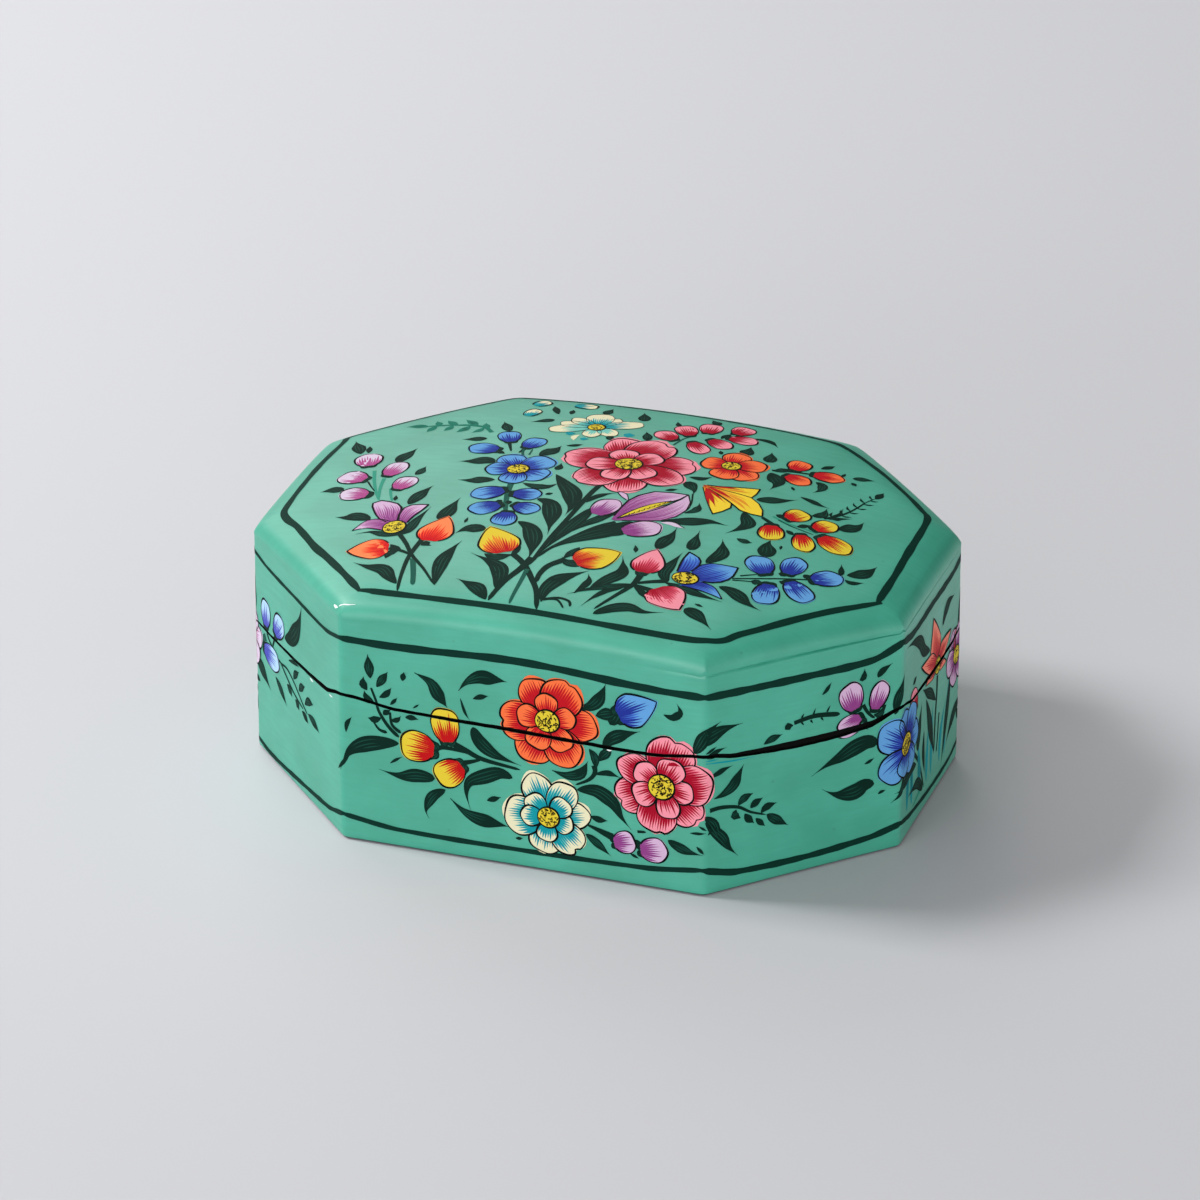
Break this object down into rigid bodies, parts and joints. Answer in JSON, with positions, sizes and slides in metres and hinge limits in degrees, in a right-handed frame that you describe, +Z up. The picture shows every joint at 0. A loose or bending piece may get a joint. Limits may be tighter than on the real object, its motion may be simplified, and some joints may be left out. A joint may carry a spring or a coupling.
{
  "type": "lidded box",
  "caption": "Eight-sided papier mache box with a slightly domed lift-off lid, painted with flower sprays on a green lacquer ground.",
  "frame": {"origin": "middle of the underside", "axes": "+X along the length, +Z up, front long side towards -Y"},
  "size_m": [0.15, 0.115, 0.064],
  "materials": {
    "green_lacquer": "turquoise green paint on gesso, varnished to a gloss",
    "black_lacquer": "black paint, satin varnish",
    "collar_board": "pasteboard painted black, satin varnish",
    "flower_paint": "brushed colours under gloss varnish",
    "leaf_paint": "brushed black green under gloss varnish"
  },
  "bodies": {
    "base": {"base_wall": "green_lacquer", "base_floor": "black_lacquer", "locating_collar": "collar_board"},
    "lid": {"lid_wall": "green_lacquer", "lid_crown": "green_lacquer"}
  },
  "joints": [
    {"name": "lid_lift", "type": "slide", "parent": "base", "child": "lid", "axis": [0, 0, 1], "range_m": [0, 0.06]}
  ]
}
